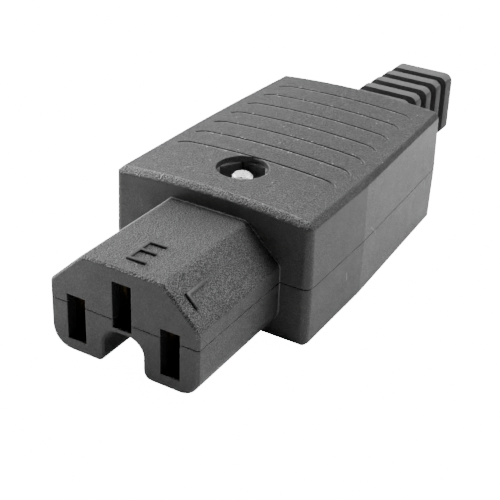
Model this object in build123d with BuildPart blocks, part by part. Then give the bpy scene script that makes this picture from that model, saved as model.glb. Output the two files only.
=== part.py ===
from build123d import *
import math
import os

# Rewireable appliance connector for hot-condition inlets.
# Two moulded half shells meet on a seam plane, hold three sprung contacts with
# screw terminals, clamp the cord and trap the flange of a ribbed rubber boot.
# X runs across, Y from the mating face to the cord end, and Z up from the underside.

# Nose that enters the inlet, heights measured from the seam
nose_length = 18.8
nose_width = 22.2
nose_height_above = 7.5
nose_height_below = 7.0
nose_ridge_width = 11.8
nose_shoulder_height = 2.55
nose_ridge_radius = 0.9
nose_shoulder_radius = 1.3
nose_lower_radius = 3.0
nose_face_chamfer = 0.3
nose_root_overlap = 1.0

# Keyway in the underside of the nose
keyway_width = 5.9
keyway_roof_drop = 1.85
keyway_roof_radius = 2.2
keyway_mouth_radius = 1.2

# Contact slots and the chambers behind them
pin_spacing = 14.0
line_slot_drop = 1.92
earth_slot_rise = 2.19
slot_width = 2.85
slot_height = 6.5
face_wall = 1.6
chamber_width = 4.6
chamber_headroom = 0.1

# Grip body, heights measured from the seam
body_length = 44.1
body_width = 30.8
body_side_taper = 1.25
body_straight_length = 16.2
body_height_above = 10.25
body_height_below = 8.86
body_corner_radius = 1.1
body_top_chamfer = 0.8
body_bottom_chamfer = 0.5
body_draft = 1.0
crown_drop = 0.9
wall = 2.0
roof_wall = 1.7
seam_gap = 0.12
seam_gap_depth = 0.3

# Grip grooves on the top, set back from the nose root and from the cord end
groove_count = 7
groove_first_setback = 12.1
groove_last_setback = 4.8
groove_width = 0.35
groove_depth = 0.25
groove_side_margin = 2.8
groove_hook_radius = 2.2
groove_hook_turn = 55

# Housing screw, nut and the recesses that take them
screw_setback = 8.3
screw_diameter = 3.0
screw_length = 16.0
screw_end_chamfer = 0.28
screw_head_diameter = 5.6
screw_head_height = 2.0
screw_head_chamfer = 0.5
driver_recess_span = 3.0
driver_recess_width = 0.75
driver_recess_depth = 1.1
screw_clearance = 0.2
head_recess_depth = 2.16
head_recess_clearance = 0.3
nut_across_flats = 6.0
nut_height = 2.4
nut_corner_chamfer = 0.3
nut_clearance = 0.15
nut_top_depth = 4.4
nut_recess_diameter = 7.3
nut_ledge_depth = 0.9
screw_post_wall = 1.1

# Folded brass contacts
contact_start_gap = 3.0
contact_jaw_length = 8.2
blade_thickness = 0.7
blade_height = 5.6
blade_half_gap = 1.1
pinch_half_gap = 0.85
lip_half_gap = 1.25
lip_length = 1.4
pinch_run = 2.8
web_length = 4.0
tail_height = 2.4
tail_insertion = 1.8
clip_thickness = 0.3
clip_length = 3.0
clip_start = 4.5

# Terminal blocks and their screws
block_width = 5.0
block_length = 6.0
block_height = 4.6
block_line_gap = 0.5
block_earth_lead = 5.5
block_earth_rise = 1.35
block_clearance = 0.15
tail_socket_clearance = 0.05
wire_bore_diameter = 2.6
wire_bore_depth = 3.6
terminal_screw_diameter = 2.5
terminal_screw_clearance = 0.05
terminal_screw_length = 3.2
terminal_head_diameter = 4.4
terminal_head_height = 1.5
terminal_slot_width = 0.7
terminal_slot_depth = 0.8
cheek_thickness = 1.0
cheek_overlap = 2.4

# Cord boot
boot_projection = 28.2
boot_width = 10.9
boot_root_height = 13.4
boot_end_height = 10.7
boot_corner_radius = 1.45
boot_edge_chamfer = 0.25
rib_count = 6
rib_pitch = 4.46
rib_thickness = 2.0
end_rib_thickness = 3.1
boot_neck_width = 8.9
boot_neck_height = 9.6
boot_neck_chamfer = 0.7
boot_fit = 0.1
flange_width = 13.0
flange_height = 13.4
flange_thickness = 2.4
cord_bore = 7.0

# Cord clamp and the ribs inside the shells
partition_thickness = 1.6
cord_passage = 8.6
clamp_setback = 11.9
clamp_screw_spacing = 15.0
clamp_bar_length = 20.0
clamp_bar_width = 5.0
clamp_bar_thickness = 2.0
clamp_bar_arch = 7.6
clamp_bar_end_radius = 2.4
clamp_seat_rise = 0.8
clamp_boss_diameter = 5.4
clamp_screw_diameter = 2.9
clamp_screw_length = 8.5
clamp_head_diameter = 4.6
clamp_head_height = 1.8
clamp_thread_clearance = 0.05
clamp_hole_clearance = 0.2

# Dowels that line the shells up
dowel_setback = 20.9
dowel_spacing = 21.0
dowel_diameter = 2.4
dowel_length = 2.0
dowel_clearance = 0.1
dowel_boss_diameter = 4.6

# Worked out from the sizes above
total_length = nose_length + body_length + boot_projection
front_y = -total_length / 2
seam_z = body_height_below
kink_station = nose_length + body_straight_length
body_end = nose_length + body_length
cavity_start = nose_length + wall
cavity_above = body_height_above - crown_drop - roof_wall
cavity_below = body_height_below - wall
contact_spacing = pin_spacing / 2
blade_offset = blade_half_gap + blade_thickness / 2
screw_station = nose_length + screw_setback
clamp_station = body_end - clamp_setback
dowel_station = body_end - dowel_setback
block_line_station = cavity_start + block_line_gap
block_earth_station = cavity_start - block_earth_lead
nut_corner_diameter = (nut_across_flats + 2 * nut_clearance) / math.cos(math.pi / 6)
screw_place = Location((0, front_y + screw_station))
clamp_places = (
    (-clamp_screw_spacing / 2, front_y + clamp_station),
    (clamp_screw_spacing / 2, front_y + clamp_station),
)
dowel_places = (
    (-dowel_spacing / 2, front_y + dowel_station),
    (dowel_spacing / 2, front_y + dowel_station),
)
chamber_height = slot_height + 2 * chamber_headroom
seam_up = Plane(origin=(0, 0, seam_z))
seam_down = Plane(origin=(0, 0, seam_z), x_dir=(-1, 0, 0), z_dir=(0, 0, -1))
slot_centres = (
    (-contact_spacing, -line_slot_drop),
    (0, earth_slot_rise),
    (contact_spacing, -line_slot_drop),
)

os.makedirs("parts", exist_ok=True)


def at(station):
    """Y coordinate of a station, which is a distance back from the mating face."""
    return front_y + station


def across(station):
    """Plane square to the connector's length, facing the cord end, centred on the seam."""
    return Plane(origin=(0, at(station), seam_z), x_dir=(-1, 0, 0), z_dir=(0, 1, 0))


def level(height):
    """Horizontal plane at a height above the seam."""
    return Plane.XY.offset(seam_z + height)


def save(piece, name):
    """Label a finished piece and write it as a STEP file."""
    piece.label = name
    export_step(piece, f"parts/{name}.step")


def half_width_at(station):
    """Half the grip body's width at a station, which shrinks behind the kink in its sides."""
    behind_kink = max(station - kink_station, 0) / (body_end - kink_station)
    return body_width / 2 - body_side_taper * behind_kink


def body_outline():
    """Plan outline of the grip body with sharp corners."""
    half_width = body_width / 2
    half_end = half_width_at(body_end)
    with BuildSketch() as outline:
        with BuildLine():
            Polyline(
                (-half_width, at(nose_length)),
                (half_width, at(nose_length)),
                (half_width, at(kink_station)),
                (half_end, at(body_end)),
                (-half_end, at(body_end)),
                (-half_width, at(kink_station)),
                close=True,
            )
        make_face()
    return outline.sketch


def rounded_outline():
    """Plan outline of the grip body with its front corners rounded."""
    with BuildSketch() as outline:
        add(body_outline())
        fillet(outline.vertices().group_by(Axis.Y)[0], body_corner_radius)
    return outline.sketch


def cavity_outline():
    """Plan outline of the space inside the side walls."""
    with BuildSketch() as outline:
        add(body_outline())
        offset(amount=-wall)
    return outline.sketch


def nose_outline():
    """Cross-section of the nose, with its sloping upper corners and the keyway."""
    half_width = nose_width / 2
    half_ridge = nose_ridge_width / 2
    half_key = keyway_width / 2
    with BuildSketch() as outline:
        with BuildLine():
            FilletPolyline(
                (-half_width, -nose_height_below),
                (-half_key, -nose_height_below),
                (-half_key, -keyway_roof_drop),
                (half_key, -keyway_roof_drop),
                (half_key, -nose_height_below),
                (half_width, -nose_height_below),
                (half_width, nose_shoulder_height),
                (half_ridge, nose_height_above),
                (-half_ridge, nose_height_above),
                (-half_width, nose_shoulder_height),
                radius=(
                    nose_lower_radius,
                    keyway_mouth_radius,
                    keyway_roof_radius,
                    keyway_roof_radius,
                    keyway_mouth_radius,
                    nose_lower_radius,
                    nose_shoulder_radius,
                    nose_ridge_radius,
                    nose_ridge_radius,
                    nose_shoulder_radius,
                ),
                close=True,
            )
        make_face()
    return outline.sketch


def crown_region(crest, reach):
    """Cross-section of everything above the crowned top surface."""
    edge = crest - crown_drop
    half_width = body_width / 2
    with BuildSketch() as region:
        with BuildLine():
            ThreePointArc((-half_width, edge), (0, crest), (half_width, edge))
            Polyline(
                (half_width, edge),
                (half_width, crest + reach),
                (-half_width, crest + reach),
                (-half_width, edge),
            )
        make_face()
    return region.sketch


def neck_section(clearance):
    """Section of the boot's neck, or with a clearance all round, of the opening that holds it."""
    with BuildSketch() as section:
        Rectangle(boot_neck_width + 2 * clearance, boot_neck_height + 2 * clearance)
        chamfer(section.vertices(), boot_neck_chamfer)
    return section.sketch


# Drafted block with rounded front corners, which rounds the front of the form below
with BuildPart() as corner_block:
    with BuildSketch(seam_up):
        add(rounded_outline())
    extrude(amount=body_height_above, taper=body_draft)

# Outside form of both shells in one solid
with BuildPart() as outer_form:
    with BuildSketch(seam_up):
        add(body_outline())
    extrude(amount=body_height_above, taper=body_draft)
    with BuildSketch(across(nose_length - wall)):
        add(crown_region(body_height_above, wall))
    extrude(amount=body_length + 2 * wall, mode=Mode.SUBTRACT)
    crown_edges = outer_form.faces().sort_by(Axis.Z)[-1].edges()
    chamfer(crown_edges - crown_edges.group_by(Axis.Y)[-1], body_top_chamfer)
    add(corner_block.part, mode=Mode.INTERSECT)
    with BuildSketch(seam_down):
        add(rounded_outline())
    extrude(amount=body_height_below, taper=body_draft)
    chamfer(outer_form.faces().sort_by(Axis.Z)[0].edges(), body_bottom_chamfer)
    with BuildSketch(across(0)):
        add(nose_outline())
    extrude(amount=nose_length + nose_root_overlap)
    chamfer(outer_form.faces().sort_by(Axis.Y)[0].edges(), nose_face_chamfer)

# Shadow groove that runs all round the seam, cut in the upper shell
with BuildPart() as seam_groove:
    with BuildSketch(seam_up):
        with BuildSketch(mode=Mode.PRIVATE) as inside:
            add(rounded_outline())
            with Locations((0, at((nose_length + nose_root_overlap) / 2))):
                Rectangle(nose_width, nose_length + nose_root_overlap)
            offset(amount=-seam_gap_depth, kind=Kind.INTERSECTION)
        Rectangle(2 * body_width, 2 * total_length)
        add(inside.sketch, mode=Mode.SUBTRACT)
    extrude(amount=seam_gap)

# Slots through the face, contact chambers behind them and the earth terminal's wider pocket
with BuildPart() as contact_ways:
    with BuildSketch(across(0)):
        with Locations(*slot_centres):
            Rectangle(slot_width, slot_height)
    extrude(amount=face_wall)
    with BuildSketch(across(face_wall)):
        with Locations(*slot_centres):
            Rectangle(chamber_width, chamber_height)
    extrude(amount=cavity_start - face_wall)
    with BuildSketch(across(block_earth_station - block_clearance)):
        with Locations((0, earth_slot_rise)):
            Rectangle(block_width + 2 * block_clearance, chamber_height)
    extrude(amount=cavity_start - block_earth_station + block_clearance)

# Hole in the cord end that the boot's neck fills, and the passage through the partition
with BuildPart() as boot_opening:
    with BuildSketch(across(body_end - wall - partition_thickness)):
        add(neck_section(boot_fit))
    extrude(amount=wall + partition_thickness + wall)

# Cross wall in front of the boot's flange
partition_station = body_end - wall - flange_thickness - 2 * boot_fit - partition_thickness
with BuildPart() as cord_passage_way:
    with BuildSketch(across(partition_station)):
        Circle(cord_passage / 2)
    extrude(amount=partition_thickness)


# Grip grooves: thin slits across the top that follow its crown and bend forward at both ends
groove_pitch = (body_length - groove_first_setback - groove_last_setback) / (groove_count - 1)
hook_reach = groove_hook_radius * math.sin(math.radians(groove_hook_turn))
with BuildPart() as grip_grooves:
    for index in range(groove_count):
        station = nose_length + groove_first_setback + index * groove_pitch
        half_straight = half_width_at(station) - groove_side_margin - hook_reach
        with BuildSketch(level(body_height_above - crown_drop - groove_depth)):
            with BuildLine():
                straight = Line((-half_straight, at(station)), (half_straight, at(station)))
                JernArc(straight @ 1, straight % 1, groove_hook_radius, -groove_hook_turn)
                JernArc(straight @ 0, -(straight % 0), groove_hook_radius, groove_hook_turn)
            trace(line_width=groove_width)
        extrude(amount=crown_drop + 2 * groove_depth)
    with BuildSketch(across(nose_length)):
        with BuildSketch(mode=Mode.PRIVATE) as above_floor:
            add(crown_region(body_height_above - groove_depth, wall))
        Rectangle(body_width, 2 * body_height_above)
        add(above_floor.sketch, mode=Mode.SUBTRACT)
    extrude(amount=body_length, mode=Mode.SUBTRACT)


def partition_outline():
    """Plan of the cross wall, which ends inside the thickness of the side walls."""
    with BuildSketch() as outline:
        with Locations((0, at(partition_station) + partition_thickness / 2)):
            Rectangle(2 * half_width_at(body_end) - wall, partition_thickness)
    return outline.sketch


with BuildPart() as upper_shell:
    add(outer_form.part)
    split(bisect_by=seam_up, keep=Keep.TOP)
    add(seam_groove.part, mode=Mode.SUBTRACT)
    with BuildSketch(seam_up):
        add(cavity_outline())
    extrude(amount=cavity_above, mode=Mode.SUBTRACT)
    # Boss round the nut, the dowel bosses and the cross wall, down from the roof to the seam
    with BuildSketch(seam_up):
        with Locations(screw_place):
            Circle(nut_corner_diameter / 2 + screw_post_wall)
        with Locations(*dowel_places):
            Circle(dowel_boss_diameter / 2)
        add(partition_outline())
    extrude(amount=cavity_above)
    add(contact_ways.part, mode=Mode.SUBTRACT)
    add(cord_passage_way.part, mode=Mode.SUBTRACT)
    add(boot_opening.part, mode=Mode.SUBTRACT)
    # Recess for the nut from above, its screw hole and the dowel sockets from below
    with BuildSketch(level(body_height_above - nut_ledge_depth)):
        with Locations(screw_place):
            Circle(nut_recess_diameter / 2)
    extrude(amount=nut_ledge_depth, mode=Mode.SUBTRACT)
    with BuildSketch(level(body_height_above - nut_top_depth - nut_height)):
        with Locations(screw_place):
            RegularPolygon(nut_corner_diameter / 2, 6)
    extrude(amount=nut_top_depth + nut_height, mode=Mode.SUBTRACT)
    with BuildSketch(seam_up):
        with Locations(screw_place):
            Circle(screw_diameter / 2 + screw_clearance)
    extrude(amount=body_height_above, mode=Mode.SUBTRACT)
    with BuildSketch(seam_up):
        with Locations(*dowel_places):
            Circle(dowel_diameter / 2 + dowel_clearance)
    extrude(amount=dowel_length + dowel_clearance, mode=Mode.SUBTRACT)
    add(grip_grooves.part, mode=Mode.SUBTRACT)

save(upper_shell.part, "upper_shell")

# Lower shell: keyway, screw post, clamp and terminal supports
block_x = contact_spacing + blade_offset
block_middle = at(block_line_station) + block_length / 2
block_places = ((-block_x, block_middle), (block_x, block_middle))
cheek_reach = block_width / 2 + block_clearance + cheek_thickness
cheek_top = -line_slot_drop - block_height / 2 + cheek_overlap
head_seat = -body_height_below + head_recess_depth
with BuildPart() as lower_shell:
    add(outer_form.part)
    split(bisect_by=seam_up, keep=Keep.BOTTOM)
    with BuildSketch(seam_down):
        add(cavity_outline())
    extrude(amount=cavity_below, mode=Mode.SUBTRACT)
    # Screw post, dowel bosses, the cross wall and the clamp bosses stand up from the floor
    with BuildSketch(level(-cavity_below)):
        with Locations(screw_place):
            Circle(screw_head_diameter / 2 + head_recess_clearance + screw_post_wall)
        with Locations(*dowel_places):
            Circle(dowel_boss_diameter / 2)
        add(partition_outline())
    extrude(amount=cavity_below)
    with BuildSketch(level(-cavity_below)):
        with Locations(*clamp_places):
            Circle(clamp_boss_diameter / 2)
    extrude(amount=cavity_below + clamp_seat_rise)
    # Cradle under the cord, between the clamp bosses
    with BuildSketch(level(-cavity_below)):
        with Locations((0, at(clamp_station))):
            Rectangle(clamp_screw_spacing, cheek_thickness)
    extrude(amount=cavity_below)
    with BuildSketch(across(clamp_station - cheek_thickness)):
        Circle(cord_bore / 2)
    extrude(amount=2 * cheek_thickness, mode=Mode.SUBTRACT)
    # Pads and cheeks that carry the line and neutral terminal blocks
    with BuildSketch(level(-cavity_below)):
        with Locations(*block_places):
            Rectangle(2 * cheek_reach, block_length)
    extrude(amount=cavity_below + cheek_top)
    with BuildSketch(level(-line_slot_drop - block_height / 2)):
        with Locations(*block_places):
            Rectangle(block_width + 2 * block_clearance, block_length)
    extrude(amount=block_height, mode=Mode.SUBTRACT)
    add(contact_ways.part, mode=Mode.SUBTRACT)
    add(cord_passage_way.part, mode=Mode.SUBTRACT)
    add(boot_opening.part, mode=Mode.SUBTRACT)
    # Screw hole and its head recess, and the clamp screws' pilot holes
    with BuildSketch(level(-body_height_below)):
        with Locations(screw_place):
            Circle(screw_diameter / 2 + screw_clearance)
    extrude(amount=body_height_below, mode=Mode.SUBTRACT)
    with BuildSketch(level(-body_height_below)):
        with Locations(screw_place):
            Circle(screw_head_diameter / 2 + head_recess_clearance)
    extrude(amount=head_recess_depth, mode=Mode.SUBTRACT)
    with BuildSketch(level(clamp_seat_rise - clamp_screw_length)):
        with Locations(*clamp_places):
            Circle(clamp_screw_diameter / 2 + clamp_thread_clearance)
    extrude(amount=clamp_screw_length, mode=Mode.SUBTRACT)
    # Dowels
    with BuildSketch(seam_up):
        with Locations(*dowel_places):
            Circle(dowel_diameter / 2)
    extrude(amount=dowel_length)

save(lower_shell.part, "lower_shell")

# Cord boot: flange and neck held by the shells, then ribs that get lower towards the cord end
with BuildPart() as cord_boot:
    with BuildSketch(across(body_end - wall - boot_fit - flange_thickness)):
        Rectangle(flange_width, flange_height)
    extrude(amount=flange_thickness)
    with BuildSketch(across(body_end - wall - boot_fit - flange_thickness)):
        add(neck_section(0))
    extrude(amount=flange_thickness + boot_fit + wall + boot_projection)
    for index in range(rib_count):
        from_end = end_rib_thickness + (rib_count - 1 - index) * rib_pitch
        is_last = index == rib_count - 1
        thickness = end_rib_thickness if is_last else rib_thickness
        share = (boot_projection - from_end) / boot_projection
        height = boot_root_height + (boot_end_height - boot_root_height) * share
        with BuildSketch(across(body_end + boot_projection - from_end)):
            RectangleRounded(boot_width, height, boot_corner_radius)
        extrude(amount=thickness)
    chamfer(cord_boot.faces().sort_by(Axis.Y)[-1].edges(), boot_edge_chamfer)
    with BuildSketch(across(partition_station)):
        Circle(cord_bore / 2)
    extrude(amount=total_length - partition_station, mode=Mode.SUBTRACT)

save(cord_boot.part, "cord_boot")

# Housing screw, from its head in the underside to its end in the top recess
with BuildPart() as housing_screw:
    with BuildSketch(level(head_seat)):
        with Locations(screw_place):
            Circle(screw_diameter / 2)
    extrude(amount=screw_length)
    chamfer(housing_screw.edges().sort_by(Axis.Z)[-1], screw_end_chamfer)
    with BuildSketch(level(head_seat - screw_head_height)):
        with Locations(screw_place):
            Circle(screw_head_diameter / 2)
    extrude(amount=screw_head_height)
    chamfer(housing_screw.edges().sort_by(Axis.Z)[0], screw_head_chamfer)
    with BuildSketch(level(head_seat - screw_head_height)):
        with Locations(screw_place):
            Rectangle(driver_recess_span, driver_recess_width)
            Rectangle(driver_recess_width, driver_recess_span)
    extrude(amount=driver_recess_depth, mode=Mode.SUBTRACT)

save(housing_screw.part, "housing_screw")

# Hexagonal nut at the bottom of its pocket
nut_floor = body_height_above - nut_top_depth - nut_height
with BuildPart() as housing_nut:
    with BuildSketch(level(nut_floor)):
        with Locations(screw_place):
            RegularPolygon(nut_across_flats / 2 / math.cos(math.pi / 6), 6)
    extrude(amount=nut_height)
    with BuildSketch(level(nut_floor)):
        with Locations(screw_place):
            Circle(nut_across_flats / 2 + nut_corner_chamfer)
    extrude(amount=nut_height, mode=Mode.INTERSECT)
    with BuildSketch(level(nut_floor)):
        with Locations(screw_place):
            Circle(screw_diameter / 2 + terminal_screw_clearance)
    extrude(amount=nut_height, mode=Mode.SUBTRACT)

save(housing_nut.part, "housing_nut")


def folded_contact(x, z, hand, tail_z, tail_end):
    """One brass strip: two sprung blades on a web, and a tail to the terminal block."""
    front = face_wall + contact_start_gap
    rear = front + contact_jaw_length
    floor = level(z - blade_height / 2)
    with BuildPart() as contact:
        for side in (-1, 1):
            with BuildSketch(floor):
                with BuildLine():
                    Polyline(
                        (x + side * (lip_half_gap + blade_thickness / 2), at(front)),
                        (x + side * (pinch_half_gap + blade_thickness / 2), at(front + lip_length)),
                        (x + side * blade_offset, at(front + lip_length + pinch_run)),
                        (x + side * blade_offset, at(rear)),
                    )
                trace(line_width=blade_thickness)
            extrude(amount=blade_height)
        with BuildSketch(floor):
            with Locations((x, at(rear - web_length / 2))):
                Rectangle(2 * (blade_half_gap + blade_thickness), web_length)
        extrude(amount=blade_thickness)
        with BuildSketch(level(tail_z - tail_height / 2)):
            with Locations((x + hand * blade_offset, at((rear - web_length + tail_end) / 2))):
                Rectangle(blade_thickness, tail_end - rear + web_length)
        extrude(amount=tail_height)
    return contact.part


def spring_clip(x, z):
    """Steel band over the top and sides of a contact's blades."""
    half_inside = blade_half_gap + blade_thickness
    top = z + blade_height / 2
    with BuildPart() as clip:
        with BuildSketch(across(face_wall + contact_start_gap + clip_start)):
            with Locations((-x, z + clip_thickness / 2)):
                Rectangle(2 * (half_inside + clip_thickness), blade_height + clip_thickness)
            with Locations((-x, z)):
                Rectangle(2 * half_inside, blade_height, mode=Mode.SUBTRACT)
        extrude(amount=clip_length)
    return clip.part


def terminal_block(x, z, tail_x, tail_z, station):
    """Brass block with a wire bore from behind, a tail socket in front and a screw hole on top."""
    middle = at(station) + block_length / 2
    with BuildPart() as block:
        with BuildSketch(level(z - block_height / 2)):
            with Locations((x, middle)):
                Rectangle(block_width, block_length)
        extrude(amount=block_height)
        chamfer(block.edges().filter_by(Axis.Z), block_clearance)
        with BuildSketch(across(station + block_length - wire_bore_depth)):
            with Locations((-x, z)):
                Circle(wire_bore_diameter / 2)
        extrude(amount=wire_bore_depth, mode=Mode.SUBTRACT)
        with BuildSketch(across(station)):
            with Locations((-tail_x, tail_z)):
                Rectangle(
                    blade_thickness + 2 * tail_socket_clearance,
                    tail_height + 2 * tail_socket_clearance,
                )
        extrude(amount=tail_insertion + tail_socket_clearance, mode=Mode.SUBTRACT)
        with BuildSketch(level(z)):
            with Locations((x, at(station) + screw_offset)):
                Circle(terminal_screw_diameter / 2 + terminal_screw_clearance)
        extrude(amount=block_height / 2, mode=Mode.SUBTRACT)
    return block.part


def slotted_screw(x, y, seat, shank, length, head, head_height):
    """Cheese-head screw standing in a hole, its head seated at a height above the seam."""
    with BuildPart() as screw:
        with BuildSketch(level(seat - length)):
            with Locations((x, y)):
                Circle(shank / 2)
        extrude(amount=length)
        with BuildSketch(level(seat)):
            with Locations((x, y)):
                Circle(head / 2)
        extrude(amount=head_height)
        with BuildSketch(level(seat + head_height - terminal_slot_depth)):
            with Locations((x, y)):
                Rectangle(head, terminal_slot_width)
        extrude(amount=terminal_slot_depth, mode=Mode.SUBTRACT)
    return screw.part


# The three ways: name, slot centre, side of the tail, terminal block's centre and station
screw_offset = block_length - wire_bore_depth / 2
ways = (
    ("live", contact_spacing, -line_slot_drop, 1, block_x, -line_slot_drop, block_line_station),
    ("neutral", -contact_spacing, -line_slot_drop, -1, -block_x, -line_slot_drop, block_line_station),
    ("earth", 0, earth_slot_rise, 1, 0, block_earth_rise, block_earth_station),
)
for name, x, z, hand, terminal_x, terminal_z, station in ways:
    tail_x = x + hand * blade_offset
    contact = folded_contact(x, z, hand, terminal_z, station + tail_insertion)
    block = terminal_block(terminal_x, terminal_z, tail_x, terminal_z, station)
    screw = slotted_screw(
        terminal_x,
        at(station) + screw_offset,
        terminal_z + block_height / 2,
        terminal_screw_diameter,
        terminal_screw_length - block_height / 2,
        terminal_head_diameter,
        terminal_head_height,
    )
    save(contact, f"{name}_contact")
    save(spring_clip(x, z), f"{name}_contact_spring")
    save(block, f"{name}_terminal")
    save(screw, f"{name}_terminal_screw")

# Cord clamp bar: an arched bridge with a hole at each end
with BuildPart() as cord_clamp:
    with BuildSketch(level(clamp_seat_rise)):
        with Locations((0, at(clamp_station))):
            RectangleRounded(clamp_bar_length, clamp_bar_width, clamp_bar_end_radius)
    extrude(amount=clamp_bar_thickness)
    with BuildSketch(across(clamp_station - clamp_bar_width / 2)):
        Circle(clamp_bar_arch / 2 + clamp_bar_thickness)
        with Locations((0, clamp_seat_rise - body_height_above)):
            Rectangle(2 * body_width, 2 * body_height_above, mode=Mode.SUBTRACT)
    extrude(amount=clamp_bar_width)
    with BuildSketch(across(clamp_station - clamp_bar_width / 2)):
        Circle(clamp_bar_arch / 2)
    extrude(amount=clamp_bar_width, mode=Mode.SUBTRACT)
    with BuildSketch(level(clamp_seat_rise)):
        with Locations(*clamp_places):
            Circle(clamp_screw_diameter / 2 + clamp_hole_clearance)
    extrude(amount=clamp_bar_thickness, mode=Mode.SUBTRACT)

save(cord_clamp.part, "cord_clamp")

for side, name in ((-1, "left_clamp_screw"), (1, "right_clamp_screw")):
    clamp_screw = slotted_screw(
        side * clamp_screw_spacing / 2,
        at(clamp_station),
        clamp_seat_rise + clamp_bar_thickness,
        clamp_screw_diameter,
        clamp_screw_length,
        clamp_head_diameter,
        clamp_head_height,
    )
    save(clamp_screw, name)
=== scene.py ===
import bmesh
import bpy
import math
from mathutils import Matrix, Vector


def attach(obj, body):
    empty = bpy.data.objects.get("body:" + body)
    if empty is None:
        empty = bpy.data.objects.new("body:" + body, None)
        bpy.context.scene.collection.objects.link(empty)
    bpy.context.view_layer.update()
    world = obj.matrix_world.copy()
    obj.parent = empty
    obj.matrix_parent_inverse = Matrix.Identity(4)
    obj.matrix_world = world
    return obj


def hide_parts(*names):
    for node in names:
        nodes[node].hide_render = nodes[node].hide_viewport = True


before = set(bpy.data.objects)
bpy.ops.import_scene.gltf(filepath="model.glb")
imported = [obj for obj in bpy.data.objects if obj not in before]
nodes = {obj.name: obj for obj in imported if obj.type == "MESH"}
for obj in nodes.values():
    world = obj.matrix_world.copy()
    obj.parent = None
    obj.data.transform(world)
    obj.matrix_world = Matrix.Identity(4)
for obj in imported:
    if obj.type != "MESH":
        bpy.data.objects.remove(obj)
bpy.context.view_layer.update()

# Sizes of the solids, in metres, measured back from the mating face and up from the seam
mm = 0.001
front_y = -45.55 * mm
seam_z = 8.86 * mm
nose_length = 18.8 * mm
nose_ridge_half = 5.9 * mm
nose_top = 7.5 * mm
nose_half_width = 11.1 * mm
nose_shoulder = 2.55 * mm
nose_root_y = front_y + nose_length
kink_y = front_y + 35.0 * mm
crown_rise = 10.25 * mm
crown_radius = 132.2 * mm
first_groove_y = front_y + 30.9 * mm
groove_pitch = 4.533 * mm
screw_station = 27.1 * mm
screw_head_seat = -6.7 * mm

# Boxes that pick out places on the shells: centre and half size in millimetres, across from the
# middle, back from the mating face and up from the seam. The same place on both sides is one box.
shell_boxes = {
    "line_slots": ((7, 10.1, -1.92), (2.4, 10, 3.4)),
    "earth_slot": ((0, 10.1, 2.19), (2.4, 10, 3.4)),
    "side_rims": ((15.4, 41.0, 9.5), (2.0, 22.3, 1.7)),
    "front_rim": ((0, 18.8, 9.5), (20, 1.5, 1.7)),
    "front_band": ((0, 19.1, 10), (14.6, 0.8, 1.2)),
    "nose_ridges": ((5.9, 9.0, 7.3), (0.9, 9.7, 0.8)),
    "nose_shoulders": ((11.1, 9.0, 2.6), (0.7, 9.7, 0.9)),
    "nose_root": ((0, 18.7, 0), (12, 0.09, 12)),
    "grooved_top": ((0, 44.5, 10), (10.8, 14.3, 1.2)),
}
# Box of a painted highlight line along the nose's left ridge
left_ridge_highlight = ((-6.0, 8.0, 7.3), (0.22, 10.5, 0.25))

# What else the shells' masks go by: how square a face stands to an axis, how far a surface has to
# lie from the plain form to count as another, how far a tone fades, and reaches round a groove
square_on = 0.9
partly_upward = 0.3
root_margin = 0.01 * mm
letter_margin = 0.04 * mm
crown_margin = 0.12 * mm
chamfer_height = 0.7 * mm
right_side_x = 14 * mm
grain_fade = 14 * mm
nose_fade = 9 * mm
face_fade_from, face_fade_to = -8 * mm, 6 * mm
lip_from, lip_to = -0.38 * mm, -0.17 * mm
groove_reach = 0.5 * mm

# Raised terminal letters on the nose: how far they stand out, how far they reach in, their rounding
letter_height = 0.33 * mm
letter_root = 0.1 * mm
letter_rounding = 0.14 * mm

# Boot: rounding of its ribs
rib_rounding = 0.3 * mm

# Housing screw: M3 thread, its end, its pan head in millimetres out from the axis and from the seat
# down, and its cross recess with each arm's half length and half width at the mouth and the floor
screw_radius = 1.5 * mm
screw_length = 16.0 * mm
screw_end_chamfer = 0.4 * mm
thread_pitch = 0.5 * mm
thread_depth = 0.26 * mm
thread_flank_share = 0.42
thread_steps_round = 32
thread_rows_per_pitch = 8
screw_head_height = 2.0 * mm
screw_head_profile = (
    (2.75, 0.0), (2.8, -0.25), (2.8, -0.95), (2.7, -1.35), (2.4, -1.7), (1.9, -1.9), (1.2, -1.98),
)
recess_depth = 1.2 * mm
recess_overcut = 0.1 * mm
recess_mouth_arm = (1.5 * mm, 0.36 * mm)
recess_floor_arm = (0.675 * mm, 0.2808 * mm)

# Shell plastic by place: grain depth, darkest tone, and how far its flecks lighten that tone
shell_surface = {
    "letter": (0.01 * mm, 0.04, 0.01),
    "nose": (0.22 * mm, 0.002, 0.13),
    "crown_front": (0.2 * mm, 0.002, 0.12),
    "crown_rear": (0.1 * mm, 0.002, 0.09),
    "flank": (0.015 * mm, 0.016, 0.07),
    "rest": (0.015 * mm, 0.029, 0.03),
}

# What the shells' tone is multiplied by in places: painted shade, and painted light on the right flank
# behind the kink
painted_shade_and_light = {
    "nose_root": 0.4,
    "right_of_face": 0.6,
    "slots": 0.4,
    "rim_slopes": 0.45,
    "flank_behind_kink": 1.6,
    "nose_flank": 0.85,
    "sunk_places": 0.3,
}
# Tones of the shells' marks: the front rim's painted shadow, edges lightened by rubbing and as painted
# highlight, painted highlights on edges, groove lips and fine lines, and dust
rim_shadow = (0.004, 0.004, 0.004)
rubbed_and_highlit_plastic = (0.18, 0.18, 0.182)
painted_edge_highlight = (0.3, 0.3, 0.3)
groove_lip_highlight = (0.13, 0.13, 0.131)
painted_highlight_line = (0.2, 0.2, 0.2)
dust = (0.5, 0.5, 0.5)

# Scratches on the right side: start and end in millimetres along and up, and half width
scratches = (
    ((-15.48, 6.2), (-15.25, 4.9), 0.08),
    ((-8.3, 10.0), (-6.5, 8.5), 0.07),
    ((13.3, 8.2), (13.7, 6.8), 0.08),
)

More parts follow.
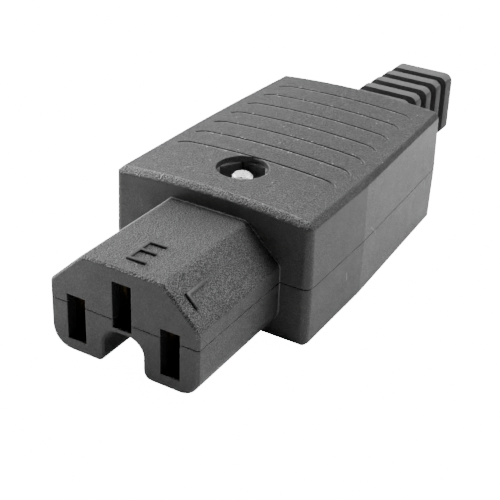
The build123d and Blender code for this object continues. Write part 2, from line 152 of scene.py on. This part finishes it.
# Camera, placed from the photograph's vanishing lines
camera_place = (0.06953, -0.13501, 0.08359)
camera_azimuth = 28.825
camera_elevation = 26.33
camera_roll = 2.74
camera_lens = 79.85
camera_shift = (-0.0528, -0.1272)

# Studio: each soft light's bearing from the cord end, its height angle and its power
lights = {
    "overhead": (0, 75, 1.8),
    "behind": (0, 25, 0.5),
    "right_rear": (45, 50, 3.5),
    "left_rear_high": (-45, 50, 0.8),
    "left_rear_low": (-45, 20, 0.55),
    "left": (-90, 20, 8.0),
}
light_distance = 0.6
light_size = (0.35, 0.3)
floor_glow = 16.0
floor_half_size = 3.0
floor_drop = 0.02 * mm


def place(x, station, rise):
    """Point in the row frame from a distance across, back from the face and up from the seam."""
    return Vector((x, front_y + station, seam_z + rise))


def make_camera():
    azimuth, elevation, roll = map(math.radians, (camera_azimuth, camera_elevation, camera_roll))
    back = Vector((
        math.sin(azimuth) * math.cos(elevation),
        -math.cos(azimuth) * math.cos(elevation),
        math.sin(elevation),
    ))
    right = (-back).cross(Vector((0, 0, 1))).normalized()
    up = right.cross(-back)
    turned_right = right * math.cos(roll) + up * math.sin(roll)
    turned_up = up * math.cos(roll) - right * math.sin(roll)
    camera = bpy.data.objects.new("camera", bpy.data.cameras.new("camera"))
    camera.data.sensor_width = 36
    camera.data.lens = camera_lens
    camera.data.shift_x, camera.data.shift_y = camera_shift
    camera.data.clip_start = 0.01
    camera.data.clip_end = 10
    camera.rotation_mode = "QUATERNION"
    camera.location = camera_place
    camera.rotation_quaternion = Matrix((turned_right, turned_up, back)).transposed().to_quaternion()
    bpy.context.scene.collection.objects.link(camera)
    bpy.context.scene.camera = camera


class Nodes:
    """A node tree under construction, with short ways to add and join its nodes."""

    def __init__(self, tree):
        self.tree = tree

    def join(self, value, socket):
        """Links an output to a socket, or sets the socket to a constant."""
        if isinstance(value, bpy.types.NodeSocket):
            self.tree.links.new(value, socket)
        else:
            socket.default_value = value

    def fill(self, node, inputs):
        for key, value in inputs.items():
            self.join(value, node.inputs[key.replace("_", " ")])

    def add(self, kind, settings=None, **inputs):
        node = self.tree.nodes.new("ShaderNode" + kind)
        for key, value in (settings or {}).items():
            setattr(node, key, value)
        self.fill(node, inputs)
        return node

    def use(self, group, **inputs):
        """Places a shader node group and gives its outputs."""
        node = self.tree.nodes.new("ShaderNodeGroup")
        node.node_tree = group
        self.fill(node, inputs)
        return node.outputs

    def math(self, operation, first, second=0.0, clamp=False):
        node = self.add("Math", {"operation": operation, "use_clamp": clamp})
        self.join(first, node.inputs[0])
        self.join(second, node.inputs[1])
        return node.outputs[0]

    def vector(self, operation, first, second=None):
        """Vector maths node; dot products and lengths come out as a value."""
        node = self.add("VectorMath", {"operation": operation})
        self.join(first, node.inputs[0])
        if second is not None:
            self.join(second, node.inputs[1])
        return node.outputs["Value" if operation in ("DOT_PRODUCT", "LENGTH") else "Vector"]

    def axes(self, vector):
        return self.add("SeparateXYZ", Vector=vector).outputs

    def chain(self, operation, values):
        result = values[0]
        for value in values[1:]:
            result = self.math(operation, result, value)
        return result

    def product(self, *values):
        return self.chain("MULTIPLY", values)

    def largest(self, *values):
        return self.chain("MAXIMUM", values)

    def inverse(self, value):
        return self.math("SUBTRACT", 1.0, value)

    def above(self, value, limit):
        return self.math("GREATER_THAN", value, limit)

    def below(self, value, limit):
        return self.math("LESS_THAN", value, limit)

    def ramp(self, value, low, high):
        """Colour that runs from low to high as a value goes from 0 to 1.

        A Mix node has several sockets of one name, so here and in blend they are told by number.
        """
        node = self.add("Mix", {"data_type": "RGBA"})
        self.join(value, node.inputs[0])
        for colour, socket in ((low, node.inputs[6]), (high, node.inputs[7])):
            self.join(colour if isinstance(colour, bpy.types.NodeSocket) else (*colour, 1), socket)
        return node.outputs[2]

    def blend(self, share, low, high):
        """Value that runs from low to high as a share goes from 0 to 1."""
        node = self.add("Mix", {"data_type": "FLOAT"})
        for value, socket in ((share, node.inputs[0]), (low, node.inputs[2]), (high, node.inputs[3])):
            self.join(value, socket)
        return node.outputs[0]

    def span(self, value, from_low, from_high, to_low, to_high, smooth=False):
        """Moves a value from one range to another, and keeps it inside the second."""
        settings = {"interpolation_type": "SMOOTHSTEP" if smooth else "LINEAR"}
        limits = {"From Min": from_low, "From Max": from_high, "To Min": to_low, "To Max": to_high}
        return self.add("MapRange", settings, Value=value, **limits).outputs[0]

    def noise_span(self, value, to_low, to_high):
        """Stretches noise, which keeps near its middle, to a range."""
        return self.span(value, 0.35, 0.65, to_low, to_high)


class Group(Nodes):
    """A shader node group under construction, with its given inputs and its result."""

    def __init__(self, name, inputs, outputs):
        super().__init__(bpy.data.node_groups.new(name, "ShaderNodeTree"))
        for socket, kind, value in inputs:
            made = self.tree.interface.new_socket(
                socket, in_out="INPUT", socket_type="NodeSocket" + kind,
            )
            if value is not None:
                made.default_value = value
        for socket, kind in outputs:
            self.tree.interface.new_socket(socket, in_out="OUTPUT", socket_type="NodeSocket" + kind)
        self.given = self.tree.nodes.new("NodeGroupInput").outputs
        self.result = self.tree.nodes.new("NodeGroupOutput").inputs

    def put(self, socket, value):
        self.tree.links.new(value, self.result[socket])


class Finish(Nodes):
    """A material under construction, with its Principled shader."""

    def __init__(self, name):
        self.material = bpy.data.materials.new(name)
        self.material.use_nodes = True
        super().__init__(self.material.node_tree)
        self.shader = self.tree.nodes["Principled BSDF"]

    def put(self, socket, value):
        self.join(value, self.shader.inputs[socket])

    def put_bump(self, height, depth, normal):
        raised = self.product(height, depth)
        bump = self.add("Bump", Height=raised, Distance=1.0, Strength=1.0, Normal=normal)
        self.put("Normal", bump.outputs[0])


def soft_light(name, bearing, height_angle, power):
    """Rectangular lamp aimed at the connector, placed by its bearing from the cord end."""
    bearing, height_angle = math.radians(bearing), math.radians(height_angle)
    away = Vector((
        math.sin(bearing) * math.cos(height_angle),
        math.cos(bearing) * math.cos(height_angle),
        math.sin(height_angle),
    ))
    light = bpy.data.lights.new(name, "AREA")
    light.shape = "RECTANGLE"
    light.size, light.size_y = light_size
    light.energy = power
    lamp = bpy.data.objects.new(name, light)
    lamp.location = away * light_distance
    lamp.rotation_mode = "QUATERNION"
    lamp.rotation_quaternion = away.to_track_quat("Z", "Y")
    bpy.context.scene.collection.objects.link(lamp)


def pale_floor_finish():
    """White floor that glows to the camera alone, and isn't seen from below."""
    finish = Finish("pale_floor")
    finish.put("Base Color", (0.9, 0.9, 0.9, 1))
    finish.put("Roughness", 0.9)
    finish.put("Emission Strength", floor_glow)
    in_sight = finish.add("LightPath").outputs["Is Camera Ray"]
    finish.put("Emission Color", finish.ramp(in_sight, (0, 0, 0), (1, 1, 1)))
    finish.put("Alpha", finish.inverse(finish.add("NewGeometry").outputs["Backfacing"]))
    return finish.material


def make_studio():
    world = bpy.data.worlds.new("studio")
    world.use_nodes = True
    backdrop = Nodes(world.node_tree)
    background = world.node_tree.nodes["Background"]
    background.inputs["Color"].default_value = (1, 1, 1, 1)
    in_sight = backdrop.add("LightPath").outputs["Is Camera Ray"]
    backdrop.join(backdrop.product(in_sight, floor_glow), background.inputs["Strength"])
    bpy.context.scene.world = world
    for name, values in lights.items():
        soft_light(name, *values)

    mesh = bpy.data.meshes.new("floor")
    shape = bmesh.new()
    bmesh.ops.create_grid(shape, x_segments=1, y_segments=1, size=floor_half_size)
    shape.to_mesh(mesh)
    shape.free()
    floor = bpy.data.objects.new("floor", mesh)
    floor.location.z = -floor_drop
    mesh.materials.append(pale_floor_finish())
    bpy.context.scene.collection.objects.link(floor)


def make_moulded_grain():
    """Mould texture: pits of one size broken up by finer noise, with mottling and light flecks."""
    group = Group(
        "moulded_grain",
        [("Pit Size", "Float", 0.0004), ("Unevenness", "Float", 0.5)],
        [("Height", "Float"), ("Shade", "Float"), ("Fleck", "Float")],
    )
    where = group.add("TexCoord").outputs["Object"]
    frequency = group.math("DIVIDE", 1.0, group.given["Pit Size"])
    pits = group.add(
        "TexVoronoi", {"feature": "SMOOTH_F1"}, Vector=where, Scale=frequency, Smoothness=0.5,
    )
    clouds = group.add(
        "TexNoise", Vector=where, Scale=group.product(frequency, 1.3), Detail=2.0, Roughness=0.6,
    )
    broad = group.add("TexNoise", Vector=where, Scale=group.product(frequency, 0.12), Detail=3.0)
    flecks = group.add("TexNoise", Vector=where, Scale=group.product(frequency, 2.0), Detail=1.0)
    unevenness = group.given["Unevenness"]
    group.put("Height", group.blend(unevenness, pits.outputs["Distance"], clouds.outputs["Fac"]))
    fine_part = group.product(clouds.outputs["Fac"], 0.4)
    broad_part = group.product(broad.outputs["Fac"], 0.6)
    group.put("Shade", group.math("ADD", fine_part, broad_part))
    group.put("Fleck", group.span(flecks.outputs["Fac"], 0.38, 0.62, 0.0, 1.0))
    return group.tree


def make_edge_wear_and_highlight():
    """Rounds the shading over sharp edges, and gives a mask of them, which finishes lighten by rubbing
    and, on the shells, as painted highlight.
    """
    group = Group("edge_wear", [("Reach", "Float", 0.0003)], [("Mask", "Float"), ("Normal", "Vector")])
    rounded = group.add("Bevel", {"samples": 6}, Radius=group.given["Reach"]).outputs[0]
    flat = group.add("NewGeometry").outputs["Normal"]
    turned = group.inverse(group.vector("DOT_PRODUCT", rounded, flat))
    group.put("Mask", group.math("MULTIPLY", turned, 4.0, clamp=True))
    group.put("Normal", rounded)
    return group.tree


def make_lint():
    """Sparse specks, each in a cell of its own."""
    group = Group(
        "lint",
        [("Cell Size", "Float", 0.0012), ("Speck Size", "Float", 0.08), ("Share", "Float", 0.2)],
        [("Mask", "Float")],
    )
    where = group.add("TexCoord").outputs["Object"]
    cell_scale = group.math("DIVIDE", 1.0, group.given["Cell Size"])
    cells = group.add("TexVoronoi", Vector=where, Scale=cell_scale)
    lot = group.vector("DOT_PRODUCT", cells.outputs["Color"], (1, 0, 0))
    chosen = group.below(lot, group.given["Share"])
    close = group.below(cells.outputs["Distance"], group.given["Speck Size"])
    group.put("Mask", group.product(chosen, close))
    return group.tree


def make_zone():
    """Mask of a box, from its centre and half sizes."""
    group = Group(
        "zone",
        [("Where", "Vector", None), ("Centre", "Vector", None), ("Half Size", "Vector", None)],
        [("Mask", "Float")],
    )
    from_centre = group.vector("SUBTRACT", group.given["Where"], group.given["Centre"])
    away = group.vector("ABSOLUTE", from_centre)
    room = group.axes(group.vector("SUBTRACT", group.given["Half Size"], away))
    least = group.chain("MINIMUM", (room["X"], room["Y"], room["Z"]))
    group.put("Mask", group.above(least, 0.0))
    return group.tree


def make_scuff():
    """Mask of one short scratch between two points, on a position that may be flattened first."""
    group = Group(
        "scuff",
        [
            ("Where", "Vector", None), ("Start", "Vector", None),
            ("End", "Vector", None), ("Width", "Float", 0.0001),
        ],
        [("Mask", "Float")],
    )
    from_start = group.vector("SUBTRACT", group.given["Where"], group.given["Start"])
    run = group.vector("SUBTRACT", group.given["End"], group.given["Start"])
    gone = group.vector("DOT_PRODUCT", from_start, run)
    share = group.math("DIVIDE", gone, group.vector("DOT_PRODUCT", run, run), clamp=True)
    nearest = group.add("VectorMath", {"operation": "SCALE"}, Scale=share)
    group.join(run, nearest.inputs[0])
    away = group.vector("LENGTH", group.vector("SUBTRACT", from_start, nearest.outputs[0]))
    widths_away = group.math("DIVIDE", away, group.given["Width"])
    group.put("Mask", group.math("SUBTRACT", 1.0, widths_away, clamp=True))
    return group.tree


grain = make_moulded_grain()
edges = make_edge_wear_and_highlight()
lint = make_lint()
zone = make_zone()
scuff = make_scuff()


class ShellFinish(Finish):
    """Black moulded plastic: grained on the nose and crown, satin on the sides, smooth on the face."""

    def __init__(self, name):
        super().__init__(name)
        self.where = self.add("TexCoord").outputs["Object"]
        self.across, self.along, self.up = (self.axes(self.where)[axis] for axis in "XYZ")
        self.mirrored = self.add(
            "CombineXYZ", X=self.math("ABSOLUTE", self.across), Y=self.along, Z=self.up,
        ).outputs[0]
        self.find_places()
        self.find_crown()

        self.coarse = self.use(grain, Pit_Size=0.26 * mm, Unevenness=0.55)
        self.fine = self.use(grain, Pit_Size=0.28 * mm, Unevenness=0.7)
        self.fleck = self.blend(self.nose_top, self.fine["Fleck"], self.coarse["Fleck"])
        soft_edge = self.largest(self.rims, self.nose_edges)
        crisp_reach = self.blend(self.crown, 0.2 * mm, 0.35 * mm)
        self.edge_rounding = self.use(edges, Reach=self.blend(soft_edge, crisp_reach, 0.55 * mm))

        height = self.blend(self.nose_top, self.fine["Height"], self.coarse["Height"])
        self.put_bump(height, self.by_place(0), self.edge_rounding["Normal"])
        self.put("Base Color", self.mark(self.add_painted_light_and_wear(self.tone_with_painted_shade_and_light())))
        satin = self.noise_span(self.fine["Shade"], 0.34, 0.42)
        dull = self.noise_span(self.fine["Shade"], 0.42, 0.56)
        self.put("Roughness", self.blend(self.on_flank, dull, satin))

    def box(self, box, position):
        centre, half_size = box
        return self.use(
            zone,
            Where=position,
            Centre=place(*[value * mm for value in centre]),
            Half_Size=[value * mm for value in half_size],
        )["Mask"]

    def within(self, name):
        """Mask of one of the shells' boxes, on both sides of the middle."""
        return self.box(shell_boxes[name], self.mirrored)

    def find_places(self):
        """Masks that say where on the shells a point lies."""
        facing = self.axes(self.add("NewGeometry").outputs["True Normal"])
        upward = self.above(facing["Z"], partly_upward)
        self.on_nose = self.below(self.along, nose_root_y - root_margin)
        self.on_flank = self.above(self.math("ABSOLUTE", facing["X"]), square_on)
        self.on_face = self.product(self.below(facing["Y"], -square_on), self.on_nose)
        self.nose_top = self.product(self.on_nose, upward)
        self.crown = self.product(upward, self.inverse(self.on_nose))
        self.sloping_crown = self.product(self.crown, self.below(facing["Z"], square_on))
        self.side_rims = self.within("side_rims")
        self.rims = self.largest(self.side_rims, self.within("front_rim"))
        self.nose_edges = self.largest(self.within("nose_ridges"), self.within("nose_shoulders"))
        fade_end = nose_root_y + grain_fade
        self.to_rear = self.span(self.along, nose_root_y, fade_end, 0.0, 1.0, smooth=True)

        slope_out = Vector((nose_top - nose_shoulder, 0, nose_half_width - nose_ridge_half))
        ridge = place(nose_ridge_half, 0, nose_top)
        from_ridge = self.vector("SUBTRACT", self.mirrored, ridge)
        above_slope = self.vector("DOT_PRODUCT", from_ridge, slope_out.normalized())
        above_top = self.axes(from_ridge)["Z"]
        raised = self.largest(
            self.above(above_slope, letter_margin), self.above(above_top, letter_margin),
        )
        self.on_letter = self.product(self.on_nose, raised)

    def find_crown(self):
        """Height just under the crown, what is sunk below it, and the distance past a grip groove."""
        fall = self.product(self.across, self.across, 0.5 / crown_radius)
        self.under_crown = self.math("SUBTRACT", seam_z + crown_rise - crown_margin, fall)
        below_crown = self.below(self.up, self.under_crown)
        self.sunk = self.product(self.crown, below_crown, self.inverse(self.rims))
        self.grooved = self.product(self.within("grooved_top"), self.crown)
        past_first = self.math("SUBTRACT", self.along, first_groove_y)
        pitches = self.math("DIVIDE", past_first, groove_pitch)
        part = self.math("FRACT", self.math("ADD", pitches, 0.5))
        self.past_groove = self.product(self.math("SUBTRACT", part, 0.5), groove_pitch)

    def by_place(self, column):
        """Value from a column of the table of shell surfaces, for the place shaded."""
        values = {name: row[column] for name, row in shell_surface.items()}
        crown = self.blend(self.to_rear, values["crown_front"], values["crown_rear"])
        rest = self.blend(self.on_flank, values["rest"], values["flank"])
        surface = self.blend(self.nose_top, self.blend(self.crown, rest, crown), values["nose"])
        return self.blend(self.on_letter, surface, values["letter"])

    def tone_with_painted_shade_and_light(self):
        """Tone of the grained plastic before edges and marks, darker and lighter by place with painted
        shade and painted light.
        """
        lightening = self.product(self.fleck, self.fleck, self.by_place(2))
        level = self.math("ADD", lightening, self.by_place(1))
        level = self.product(level, self.noise_span(self.coarse["Shade"], 0.9, 1.1))
        at_root, at_right = painted_shade_and_light["nose_root"], painted_shade_and_light["right_of_face"]
        fade_start = nose_root_y - nose_fade
        root_shade = self.span(self.along, fade_start, nose_root_y, 1.0, at_root, smooth=True)
        face_shade = self.span(self.across, face_fade_from, face_fade_to, 1.0, at_right)
        slots = self.largest(self.within("line_slots"), self.within("earth_slot"))
        ahead = self.blend(self.on_nose, painted_shade_and_light["nose_flank"], 1.0)
        ahead_of_kink = self.below(self.along, kink_y)
        flank = self.blend(ahead_of_kink, painted_shade_and_light["flank_behind_kink"], ahead)
        right_flank = self.product(self.on_flank, self.above(self.across, 0.0))
        # Painted shade: darker towards the nose's root, across the face to the right, in the slots, on
        # the side rims' slopes, on the right flank between the nose and the kink, and in sunk places.
        # Painted light: paler on the right flank behind the kink
        factors = (
            (self.nose_top, root_shade),
            (self.on_face, face_shade),
            (slots, painted_shade_and_light["slots"]),
            (self.product(self.side_rims, self.sloping_crown), painted_shade_and_light["rim_slopes"]),
            (right_flank, flank),
            (self.sunk, painted_shade_and_light["sunk_places"]),
        )
        for mask, factor in factors:
            level = self.product(level, self.blend(mask, 1.0, factor))
        return self.ramp(level, (0, 0, 0), (1, 1, 1.01))

    def add_painted_light_and_wear(self, tone):
        """Adds the front rim's painted shadow and highlight, edges lightened by rubbing and as painted
        highlight, painted highlights on the groove lips, and fine painted highlight lines.
        """
        # Painted shadow over the lower part of the front rim's chamfer
        from_crown = self.math("SUBTRACT", self.up, self.under_crown)
        up_chamfer = self.math("DIVIDE", from_crown, chamfer_height)
        up_chamfer = self.math("ADD", up_chamfer, 0.9, clamp=True)
        front_band = self.product(self.within("front_band"), self.crown)
        shaded = self.product(front_band, self.inverse(up_chamfer), 0.8)

        # Edges lightened partly by rubbing and partly as painted highlight
        edge_mask = self.edge_rounding["Mask"]
        edge_share = self.blend(self.side_rims, self.blend(self.crown, 0.35, 0.6), 0.0)
        rubbed_and_highlit = self.product(edge_mask, edge_share)
        # Painted highlight along the nose's ridges and shoulders and over the upper front rim, broken up
        # by the grain's flecks
        ridge_highlight = self.product(self.nose_edges, self.math("MULTIPLY", edge_mask, 3.0, clamp=True))
        painted_highlight = self.largest(self.product(front_band, up_chamfer), ridge_highlight)
        painted_highlight = self.product(painted_highlight, self.fleck, 0.7)

        # Painted highlight on the lips in front of the grip grooves
        past, before = self.above(self.past_groove, lip_from), self.below(self.past_groove, lip_to)
        lip_highlight = self.product(before, past, self.grooved)
        # Painted highlight lines at the nose's root and along its left ridge
        painted_highlight_lines = self.largest(self.within("nose_root"), self.box(left_ridge_highlight, self.where))
        touches = (
            (shaded, rim_shadow),
            (rubbed_and_highlit, rubbed_and_highlit_plastic),
            (painted_highlight, painted_edge_highlight),
            (lip_highlight, groove_lip_highlight),
            (painted_highlight_lines, painted_highlight_line),
        )
        for share, colour in touches:
            tone = self.ramp(share, tone, colour)
        return tone

    def mark(self, tone):
        """Adds lint over the crown and along its edges, and scratches on the right side."""
        side_view = self.vector("MULTIPLY", self.where, (0, 1, 1))
        scratched = 0.0
        for start, end, width in scratches:
            start, end = ((0, *[value * mm for value in point]) for point in (start, end))
            scratch = self.use(scuff, Where=side_view, Start=start, End=end, Width=width * mm)
            scratched = self.largest(scratch["Mask"], scratched)
        right_side = self.above(self.across, right_side_x)
        scratched = self.product(scratched, self.on_flank, 0.7, right_side)

        specks = self.use(lint, Cell_Size=1.3 * mm, Speck_Size=0.07, Share=0.3)["Mask"]
        edge_specks = self.use(lint, Cell_Size=0.5 * mm, Speck_Size=0.22, Share=0.5)["Mask"]
        near_groove = self.below(self.math("ABSOLUTE", self.past_groove), groove_reach)
        near_groove = self.product(near_groove, self.grooved)
        by_edge = self.largest(self.above(self.edge_rounding["Mask"], 0.1), near_groove)
        edge_specks = self.product(by_edge, edge_specks, self.inverse(self.side_rims))
        dusty = self.product(self.largest(specks, edge_specks), self.crown)
        return self.ramp(self.largest(dusty, scratched), tone, dust)


def boot_rubber_finish():
    """Dull black rubber, with painted light making its upward faces paler, and lighter where the ribs'
    edges show rubbing.
    """
    finish = Finish("boot_rubber")
    pits = finish.use(grain, Pit_Size=0.3 * mm, Unevenness=0.6)
    edge_rounding = finish.use(edges, Reach=0.15 * mm)
    specks = finish.use(lint, Cell_Size=2.2 * mm, Speck_Size=0.12, Share=0.2)["Mask"]
    facing = finish.axes(finish.add("NewGeometry").outputs["True Normal"])
    # Painted light: faces that look up get a paler base colour
    level = finish.blend(finish.above(facing["Z"], 0.5), 0.036, 0.095)
    level = finish.product(finish.span(pits["Fleck"], 0.0, 1.0, 0.75, 1.25), level)
    tone = finish.ramp(level, (0, 0, 0), (1, 1, 1.01))
    tone = finish.ramp(finish.product(edge_rounding["Mask"], 0.25), tone, (0.15, 0.15, 0.15))
    tone = finish.ramp(finish.product(specks, 0.6), tone, (0.012, 0.012, 0.012))
    finish.put("Base Color", tone)
    finish.put("Roughness", finish.noise_span(pits["Shade"], 0.62, 0.78))
    finish.put_bump(pits["Height"], 0.02 * mm, edge_rounding["Normal"])
    return finish.material


def clamp_plastic_finish():
    """Moulded plastic for the clamp inside the shells."""
    finish = Finish("clamp_plastic")
    pits = finish.use(grain, Pit_Size=0.25 * mm, Unevenness=0.6)
    edge_rounding = finish.use(edges, Reach=0.12 * mm)
    shade = finish.noise_span(pits["Shade"], 0.0, 1.0)
    tone = finish.ramp(shade, (0.03, 0.03, 0.031), (0.045, 0.045, 0.046))
    finish.put("Base Color", finish.ramp(finish.product(edge_rounding["Mask"], 0.4), tone, (0.2, 0.2, 0.2)))
    finish.put("Roughness", finish.noise_span(pits["Shade"], 0.5, 0.65))
    finish.put_bump(pits["Height"], 0.015 * mm, edge_rounding["Normal"])
    return finish.material


def metal_finish(name, dark, light, roughness, pit_size, pit_depth, spotted=0.0):
    """Plated or drawn metal with a faint pitted surface, and dark spots where it is marked."""
    finish = Finish(name)
    pits = finish.use(grain, Pit_Size=pit_size, Unevenness=0.8)
    edge_rounding = finish.use(edges, Reach=0.08 * mm)
    spots = finish.use(lint, Cell_Size=0.4 * mm, Speck_Size=0.3, Share=spotted)["Mask"]
    tone = finish.ramp(finish.noise_span(pits["Shade"], 0.0, 1.0), dark, light)
    finish.put("Base Color", finish.ramp(spots, tone, (0.12, 0.12, 0.12)))
    finish.put("Roughness", finish.noise_span(pits["Shade"], *roughness))
    finish.put("Metallic", 1.0)
    finish.put_bump(pits["Height"], pit_depth, edge_rounding["Normal"])
    return finish.material


shell_plastic = ShellFinish("shell_plastic").material
boot_rubber = boot_rubber_finish()
clamp_plastic = clamp_plastic_finish()
contact_brass = metal_finish(
    "contact_brass", (0.62, 0.44, 0.18), (0.78, 0.58, 0.27), (0.28, 0.42), 0.5 * mm, 0.01 * mm,
)
terminal_brass = metal_finish(
    "terminal_brass", (0.58, 0.42, 0.18), (0.74, 0.55, 0.26), (0.32, 0.45), 0.4 * mm, 0.01 * mm,
)
spring_steel = metal_finish(
    "spring_steel", (0.42, 0.42, 0.44), (0.55, 0.55, 0.57), (0.28, 0.4), 0.4 * mm, 0.008 * mm,
)
screw_steel = metal_finish(
    "screw_steel", (0.93, 0.93, 0.94), (1.0, 1.0, 1.0), (0.45, 0.6), 0.3 * mm, 0.02 * mm, 0.6,
)
nut_steel = metal_finish(
    "nut_steel", (0.03, 0.03, 0.032), (0.06, 0.06, 0.062), (0.45, 0.6), 0.3 * mm, 0.01 * mm,
)

finishes = {
    "upper_shell": shell_plastic,
    "lower_shell": shell_plastic,
    "cord_boot": boot_rubber,
    "cord_clamp": clamp_plastic,
    "housing_screw": screw_steel,
    "housing_nut": nut_steel,
    "left_clamp_screw": screw_steel,
    "right_clamp_screw": screw_steel,
}
for way in ("live", "neutral", "earth"):
    finishes[f"{way}_contact"] = contact_brass
    finishes[f"{way}_contact_spring"] = spring_steel
    finishes[f"{way}_terminal"] = terminal_brass
    finishes[f"{way}_terminal_screw"] = screw_steel


def dress(piece, material):
    piece.data.materials.clear()
    piece.data.materials.append(material)


def add_piece(name, shape, material, slot, *stands_for):
    """Turns a bmesh into a piece that rides with the connector and, if named, stands for a node."""
    mesh = bpy.data.meshes.new(name)
    shape.to_mesh(mesh)
    shape.free()
    piece = bpy.data.objects.new(name, mesh)
    bpy.context.scene.collection.objects.link(piece)
    dress(piece, material)
    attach(piece, "root")
    if stands_for:
        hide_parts(*stands_for)
    return piece


def settle(piece, sharp_angle):
    """Applies a piece's modifiers and shades it smooth between its sharp edges."""
    depsgraph = bpy.context.evaluated_depsgraph_get()
    mesh = bpy.data.meshes.new_from_object(piece.evaluated_get(depsgraph))
    mesh.name = piece.name
    piece.modifiers.clear()
    piece.data = mesh
    mesh.shade_smooth()
    mesh.set_sharp_from_angle(angle=math.radians(sharp_angle))


def round_edges(piece, width, sharp_angle):
    """Rounds a piece's sharp edges and shades it smooth between those that stay sharp."""
    rounding = piece.modifiers.new("rounding", "BEVEL")
    rounding.width = width
    rounding.segments = 3
    rounding.limit_method = "ANGLE"
    rounding.angle_limit = math.radians(40)
    settle(piece, sharp_angle)


def raised_letter(name, origin, right, up, outline):
    """Letter that stands out of the nose, from its outline in millimetres across and up."""
    outward = right.cross(up).normalized()
    shape = bmesh.new()
    points = [origin + right * (x * mm) + up * (y * mm) for x, y in outline]
    low = [shape.verts.new(point - outward * letter_root) for point in points]
    high = [shape.verts.new(point + outward * letter_height) for point in points]
    shape.faces.new(list(reversed(low)))
    shape.faces.new(high)
    for here in range(len(points)):
        after = (here + 1) % len(points)
        shape.faces.new((low[here], low[after], high[after], high[here]))
    bmesh.ops.recalc_face_normals(shape, faces=shape.faces)
    piece = add_piece(name, shape, shell_plastic, "shell_plastic")
    round_edges(piece, letter_rounding, 30)


def letter_e(left, front, stroke):
    """Outline of an E from its lower left corner; each arm has its own base and reach."""
    arms = ((front, 2.9), (front + 2.35, 2.65), (front + 4.45, 2.75))
    outline = [(left, front)]
    for index, (base, reach) in enumerate(arms):
        if index:
            outline.append((left + stroke, base))
        outline += [(left + reach, base), (left + reach, base + stroke)]
        if index < len(arms) - 1:
            outline.append((left + stroke, base + stroke))
    outline.append((left, arms[-1][0] + stroke))
    return outline


def letter_l(left, front, stroke):
    """Outline of an L from its lower left corner."""
    right, top = left + 2.4, front + 3.85
    return [
        (left, front), (right, front), (right, front + stroke),
        (left + stroke, front + stroke), (left + stroke, top), (left, top),
    ]


def add_letters():
    down_slope = Vector((nose_half_width - nose_ridge_half, 0, nose_shoulder - nose_top)).normalized()
    across, rearward = Vector((1, 0, 0)), Vector((0, 1, 0))
    middle, ridge = place(0, 0, nose_top), place(nose_ridge_half, 0, nose_top)
    raised_letter("earth_letter", middle, across, rearward, letter_e(-1.15, 2.4, 0.48))
    raised_letter("live_letter", ridge, down_slope, rearward, letter_l(2.45, 1.95, 0.6))


def round_boot():
    """The boot with its ribs' edges rounded, as rubber comes out of its mould."""
    shape = bmesh.new()
    shape.from_mesh(nodes["cord_boot"].data)
    bmesh.ops.remove_doubles(shape, verts=shape.verts, dist=0.002 * mm)
    piece = add_piece("ribbed_boot", shape, boot_rubber, "boot_rubber", "cord_boot")
    round_edges(piece, rib_rounding, 50)


def ring_of(shape, centre, height, radii):
    """Ring of points round an upright axis, one for each radius."""
    ring = []
    for step, radius in enumerate(radii):
        angle = 2 * math.pi * step / len(radii)
        offset = Vector((radius * math.cos(angle), radius * math.sin(angle), height))
        ring.append(shape.verts.new(centre + offset))
    return ring


def thread_radius(height, turn):
    """Distance of the thread's surface from the screw's axis, at a height and a share of a turn."""
    phase = (height / thread_pitch - turn) % 1.0
    groove = thread_depth * max(0.0, 1.0 - abs(phase - 0.5) / thread_flank_share)
    from_end = screw_length - height
    return min(screw_radius - groove, screw_radius - screw_end_chamfer + from_end)


def cross_recess(centre):
    """Object in the shape of a cross driver's tip, to cut from the screw's head."""
    shape = bmesh.new()
    mouth, floor = -screw_head_height - recess_overcut, -screw_head_height + recess_depth
    for arm in range(2):
        corners = []
        for height, arm_size in ((mouth, recess_mouth_arm), (floor, recess_floor_arm)):
            half_length, half_width = arm_size
            for end, side in ((-1, -1), (1, -1), (1, 1), (-1, 1)):
                x, y = end * half_length, side * half_width
                if arm:
                    x, y = -y, x
                corners.append(shape.verts.new(centre + Vector((x, y, height))))
        a, b, c, d, e, f, g, h = corners
        for face in ((a, b, c, d), (e, h, g, f), (a, e, f, b), (b, f, g, c), (c, g, h, d), (d, h, e, a)):
            shape.faces.new(face)
    bmesh.ops.recalc_face_normals(shape, faces=shape.faces)
    mesh = bpy.data.meshes.new("driver_recess")
    shape.to_mesh(mesh)
    shape.free()
    cutter = bpy.data.objects.new("driver_recess", mesh)
    bpy.context.scene.collection.objects.link(cutter)
    return cutter


def thread_screw():
    """M3 machine screw: a thread rolled down its shank and a pan head with a cross recess below."""
    centre = place(0, screw_station, screw_head_seat)
    steps = thread_steps_round
    shape = bmesh.new()
    rings = [
        ring_of(shape, centre, height * mm, [radius * mm] * steps)
        for radius, height in reversed(screw_head_profile)
    ]
    count = int(screw_length / thread_pitch * thread_rows_per_pitch)
    for row in range(count + 1):
        height = screw_length * row / count
        radii = [thread_radius(height, step / steps) for step in range(steps)]
        rings.append(ring_of(shape, centre, height, radii))
    for lower, upper in zip(rings, rings[1:]):
        for step in range(steps):
            after = (step + 1) % steps
            shape.faces.new((lower[step], lower[after], upper[after], upper[step]))
    shape.faces.new(list(reversed(rings[0])))
    shape.faces.new(rings[-1])
    bmesh.ops.recalc_face_normals(shape, faces=shape.faces)
    piece = add_piece("threaded_screw", shape, screw_steel, "screw_steel", "housing_screw")

    cutter = cross_recess(centre)
    cut = piece.modifiers.new("driver_recess", "BOOLEAN")
    cut.operation = "DIFFERENCE"
    cut.solver = "EXACT"
    cut.use_self = True
    cut.object = cutter
    settle(piece, 35)
    bpy.data.objects.remove(cutter)


for name, material in finishes.items():
    dress(nodes[name], material)
add_letters()
round_boot()
thread_screw()
make_camera()
make_studio()
